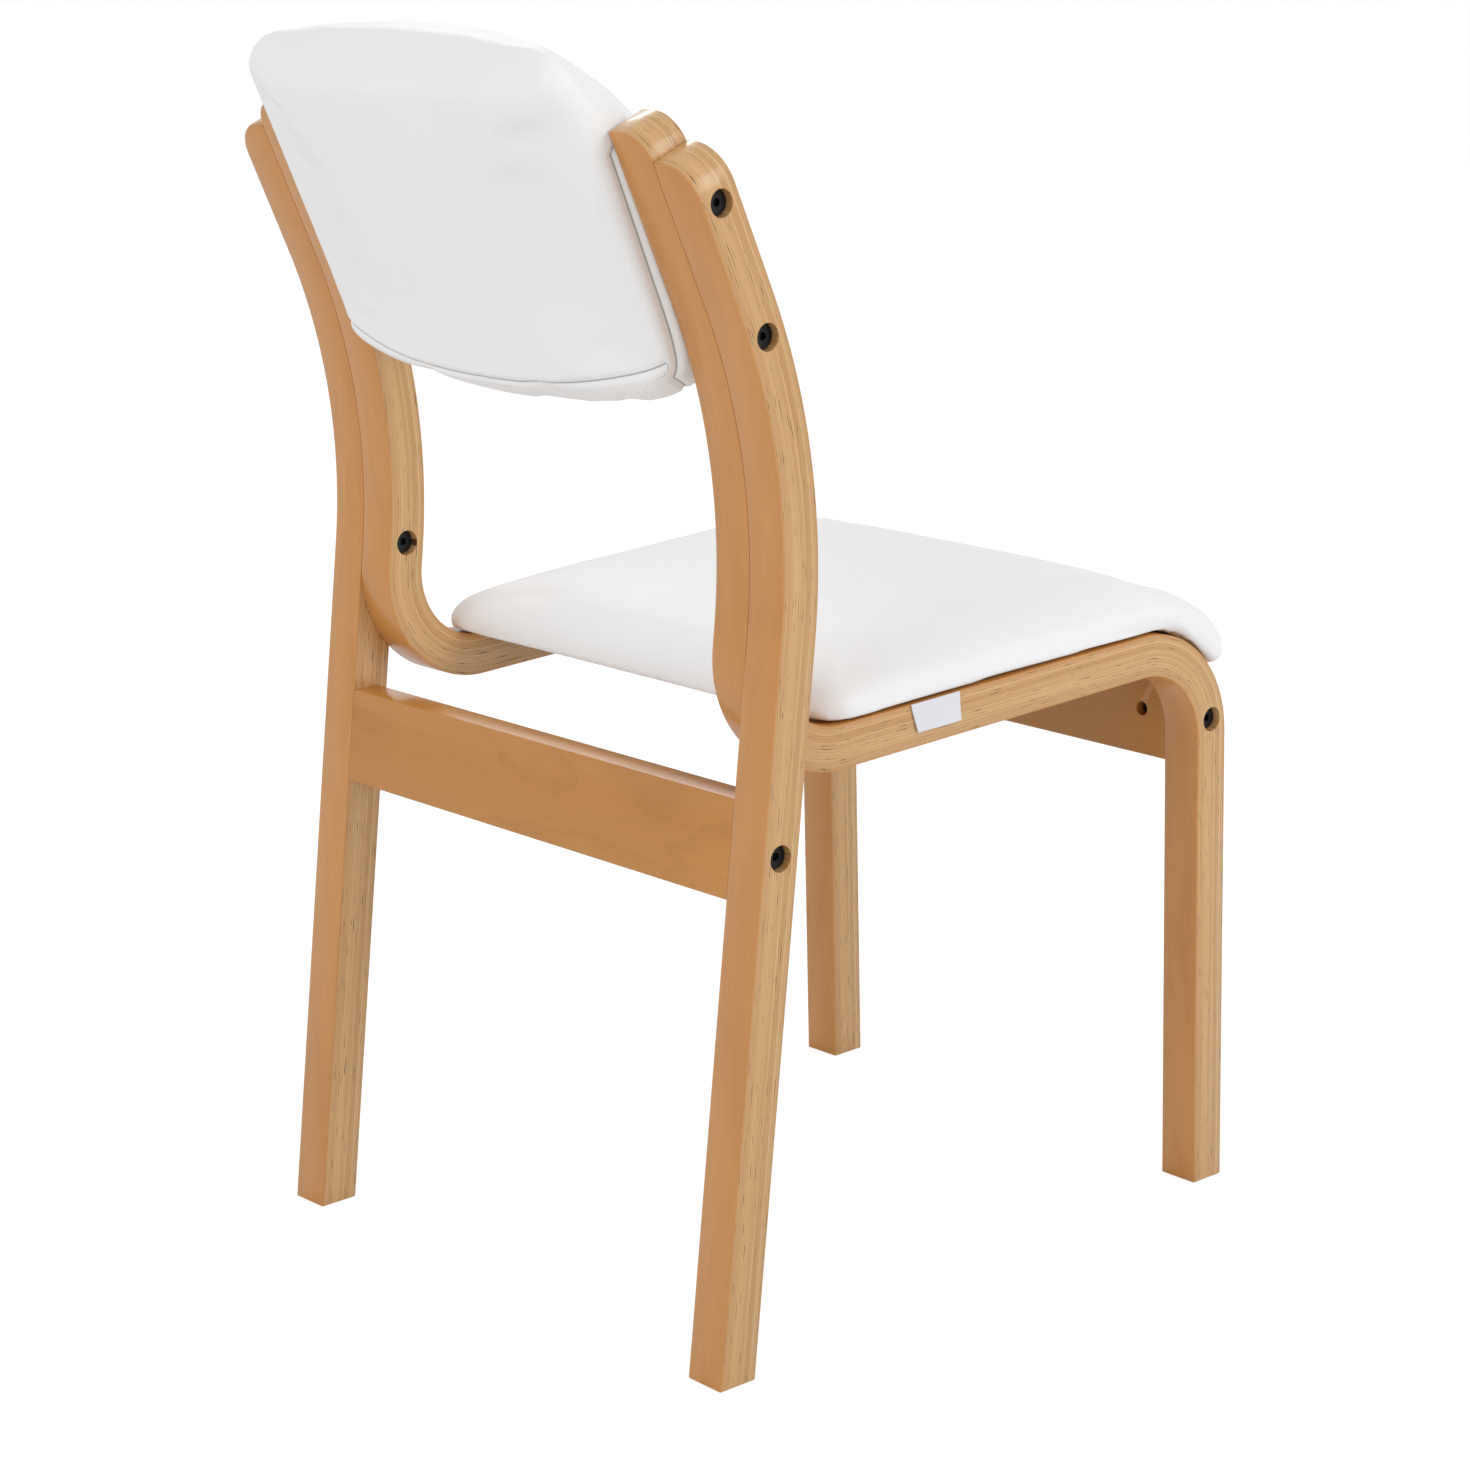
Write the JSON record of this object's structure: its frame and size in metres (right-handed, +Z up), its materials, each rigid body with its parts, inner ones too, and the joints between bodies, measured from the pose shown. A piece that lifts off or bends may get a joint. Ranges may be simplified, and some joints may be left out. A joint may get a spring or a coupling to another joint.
{
  "type": "waiting room chair",
  "caption": "Armless waiting room chair with bent laminated wood side frames, upholstered seat and back, a rear stretcher and a front apron.",
  "frame": {"origin": "on the floor, at the middle of the bounding box's base", "axes": "+Z up, the sitter faces -Y, +X to the sitter's left"},
  "size_m": [0.4422, 0.5814, 0.8268],
  "materials": {
    "bent_ply": "clear satin lacquer over bent laminated veneer",
    "solid_wood": "clear satin lacquer",
    "board": "raw moulded plywood and battens, covered",
    "vinyl": "white upholstery vinyl, fine grain, soft sheen",
    "dust_cloth": "black non-woven cloth",
    "black_bolt": "black oxide",
    "steel": "zinc plated",
    "dowel": "raw beech",
    "woven_tab": "bare woven tape"
  },
  "bodies": {
    "root": {"rear_post_right": "bent_ply", "rear_post_left": "bent_ply", "seat_frame_right": "bent_ply", "seat_frame_left": "bent_ply", "rear_stretcher": "solid_wood", "front_apron": "solid_wood", "seat_board": "board", "seat_dust_cover": "dust_cloth", "seat_cushion": "vinyl", "backrest_board": "board", "backrest_batten_right": "board", "backrest_batten_left": "board", "backrest_front_cushion": "vinyl", "backrest_rear_cushion": "vinyl", "backrest_bolts_right": "black_bolt", "backrest_bolts_left": "black_bolt", "backrest_inserts": "steel", "joint_bolts": "black_bolt", "joint_inserts": "steel", "stretcher_bolts": "black_bolt", "stretcher_barrel_nuts": "steel", "stretcher_dowels": "dowel", "apron_bolts": "black_bolt", "apron_barrel_nuts": "steel", "apron_dowels": "dowel", "seat_screws": "steel", "side_tab": "woven_tab"}
  },
  "joints": []
}
